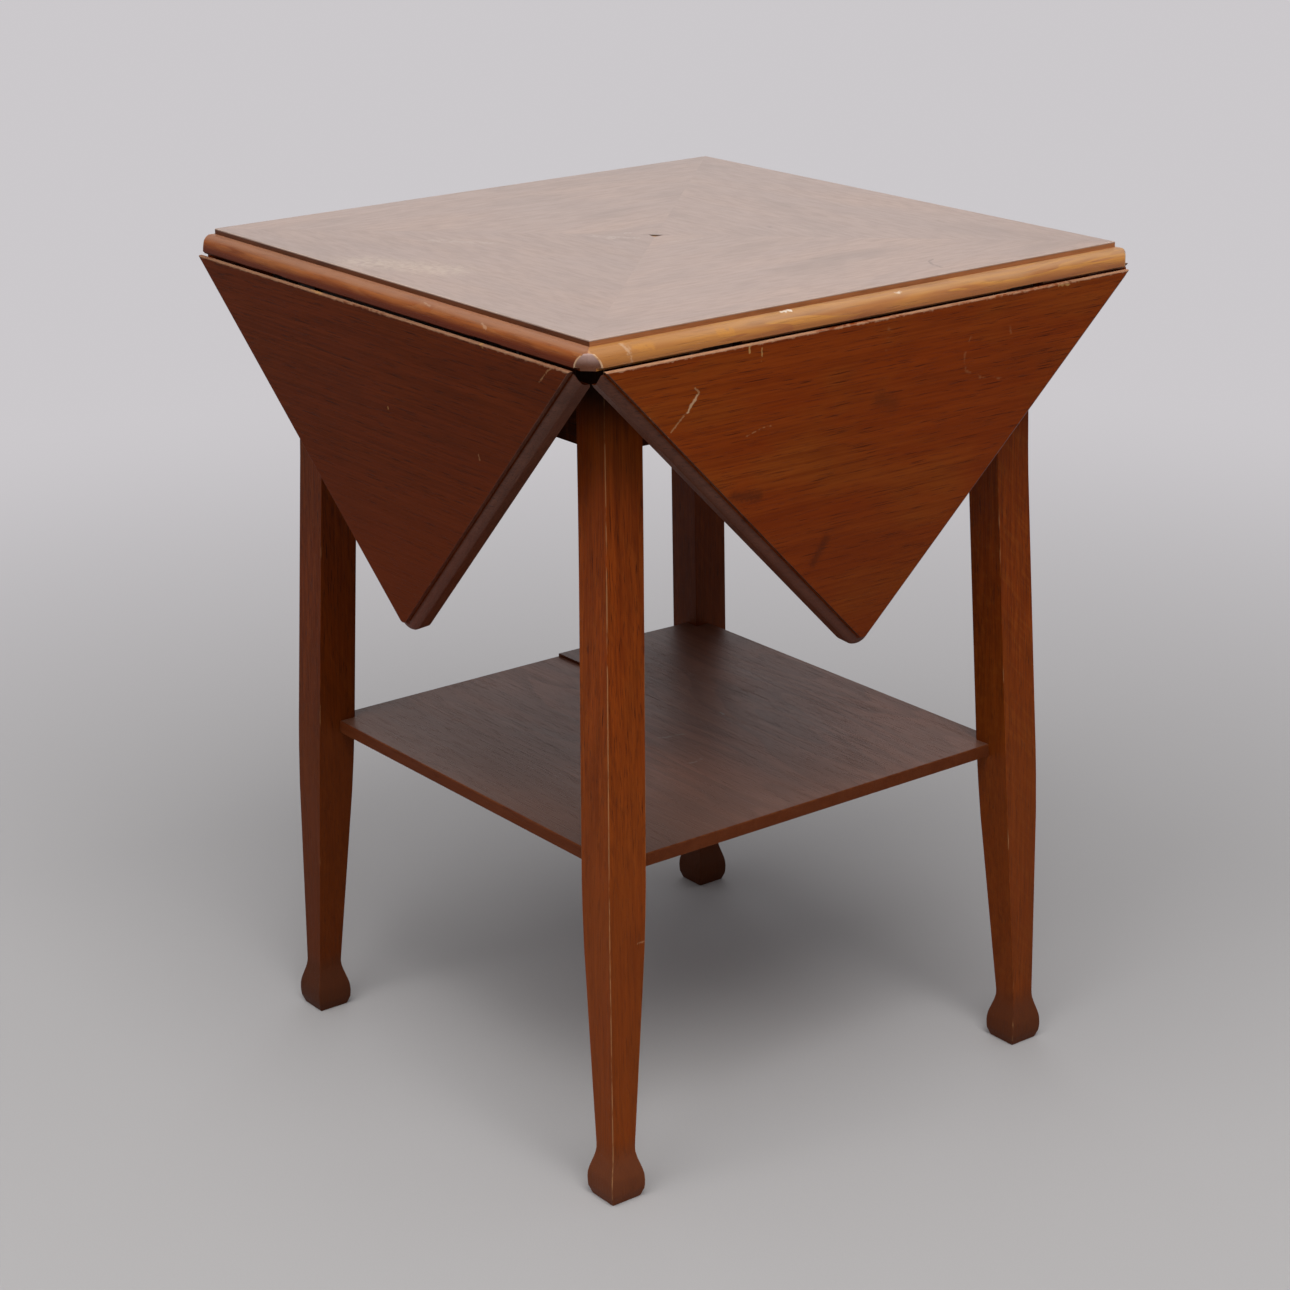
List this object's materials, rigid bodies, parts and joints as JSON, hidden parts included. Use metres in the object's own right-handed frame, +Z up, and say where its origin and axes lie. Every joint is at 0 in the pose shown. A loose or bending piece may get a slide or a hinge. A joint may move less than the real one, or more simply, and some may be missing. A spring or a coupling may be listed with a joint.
{
  "type": "envelope table",
  "caption": "Square occasional table on tapered legs with a low shelf; triangular rule-jointed leaves hang at its sides and fold up into a larger square on a turning top.",
  "frame": {"origin": "on the floor under the centre of the top", "axes": "+Z up; +X towards the front right leaf and -Y towards the front left leaf, so that the front corner lies at +X -Y"},
  "size_m": [0.5508, 0.5508, 0.7],
  "materials": {
    "leg_wood": "worn satin stain",
    "apron_wood": "worn satin stain",
    "shelf_wood": "worn satin stain",
    "top_veneer": "worn satin polish",
    "edge_wood": "worn satin polish",
    "leaf_wood": "worn satin stain",
    "core_wood": "bare",
    "block_wood": "bare",
    "hinge_steel": "dull",
    "screw_steel": "dull",
    "swivel_iron": "dull"
  },
  "bodies": {
    "base": {"leg_right": "leg_wood", "leg_back": "leg_wood", "leg_left": "leg_wood", "leg_front": "leg_wood", "apron_front_right": "apron_wood", "apron_back_right": "apron_wood", "apron_back_left": "apron_wood", "apron_front_left": "apron_wood", "corner_block_right": "block_wood", "corner_block_back": "block_wood", "corner_block_left": "block_wood", "corner_block_front": "block_wood", "corner_block_screws": "screw_steel", "pivot_rail": "block_wood", "shelf_front_board": "shelf_wood", "shelf_rear_board": "shelf_wood"},
    "top": {"top_core": "core_wood", "edge_front_right": "edge_wood", "edge_back_right": "edge_wood", "edge_back_left": "edge_wood", "edge_front_left": "edge_wood", "veneer_front_right": "top_veneer", "veneer_back_right": "top_veneer", "veneer_back_left": "top_veneer", "veneer_front_left": "top_veneer", "swivel_plate": "swivel_iron", "swivel_plate_screws": "screw_steel", "swivel_washer": "swivel_iron", "swivel_nut": "swivel_iron", "hinge_top_flaps": "hinge_steel", "hinge_pins": "hinge_steel", "hinge_top_screws": "screw_steel"},
    "front_right_leaf": {"leaf_front_right": "leaf_wood", "leaf_flaps_front_right": "hinge_steel", "leaf_screws_front_right": "screw_steel"},
    "back_right_leaf": {"leaf_back_right": "leaf_wood", "leaf_flaps_back_right": "hinge_steel", "leaf_screws_back_right": "screw_steel"},
    "back_left_leaf": {"leaf_back_left": "leaf_wood", "leaf_flaps_back_left": "hinge_steel", "leaf_screws_back_left": "screw_steel"},
    "front_left_leaf": {"leaf_front_left": "leaf_wood", "leaf_flaps_front_left": "hinge_steel", "leaf_screws_front_left": "screw_steel"}
  },
  "joints": [
    {"name": "top_swivel", "type": "hinge", "parent": "base", "child": "top", "pos_m": [0, 0, 0.6805], "axis": [0, 0, 1], "range_deg": [-10, 10]},
    {"name": "front_right_leaf_hinge", "type": "hinge", "parent": "top", "child": "front_right_leaf", "pos_m": [0.258, 0, 0.6825], "axis": [0, -1, 0], "range_deg": [0, 94.5]},
    {"name": "back_right_leaf_hinge", "type": "hinge", "parent": "top", "child": "back_right_leaf", "pos_m": [0, 0.258, 0.6825], "axis": [1, 0, 0], "range_deg": [0, 94.5]},
    {"name": "back_left_leaf_hinge", "type": "hinge", "parent": "top", "child": "back_left_leaf", "pos_m": [-0.258, 0, 0.6825], "axis": [0, 1, 0], "range_deg": [0, 94.5]},
    {"name": "front_left_leaf_hinge", "type": "hinge", "parent": "top", "child": "front_left_leaf", "pos_m": [0, -0.258, 0.6825], "axis": [-1, 0, 0], "range_deg": [0, 94.5]}
  ]
}
